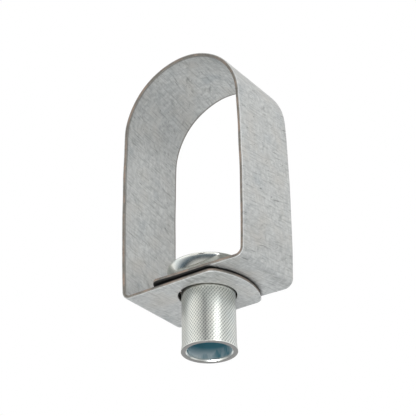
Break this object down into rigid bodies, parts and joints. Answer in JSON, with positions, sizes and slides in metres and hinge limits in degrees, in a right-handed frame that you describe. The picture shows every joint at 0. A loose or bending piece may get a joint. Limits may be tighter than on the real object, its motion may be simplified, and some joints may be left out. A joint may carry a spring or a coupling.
{
  "type": "swivel loop pipe hanger",
  "caption": "Bent galvanised strap loop for a small pipe, its plates overlapped over a loose knurled nut with a round head that swivels and takes a threaded rod.",
  "frame": {"origin": "on the nut's axis, level with the outside face of the outer plate", "axes": "+Z along the rod's axis towards the arch of the loop, +X across the loop towards the leg that carries the inner plate, +Y along the pipe"},
  "size_m": [0.04, 0.023, 0.0858],
  "materials": {
    "galvanised_strip": "pre-galvanised strip, dull mottled grey with bare sheared edges",
    "bright_zinc": "bright zinc plate, knurled barrel and smooth head"
  },
  "bodies": {
    "strap": {"strap_loop": "galvanised_strip"},
    "nut": {"swivel_nut": "bright_zinc"}
  },
  "joints": [
    {"name": "nut_swivel", "type": "hinge", "parent": "strap", "child": "nut", "pos_m": [0, 0, 0], "axis": [0, 0, 1], "continuous": true}
  ]
}
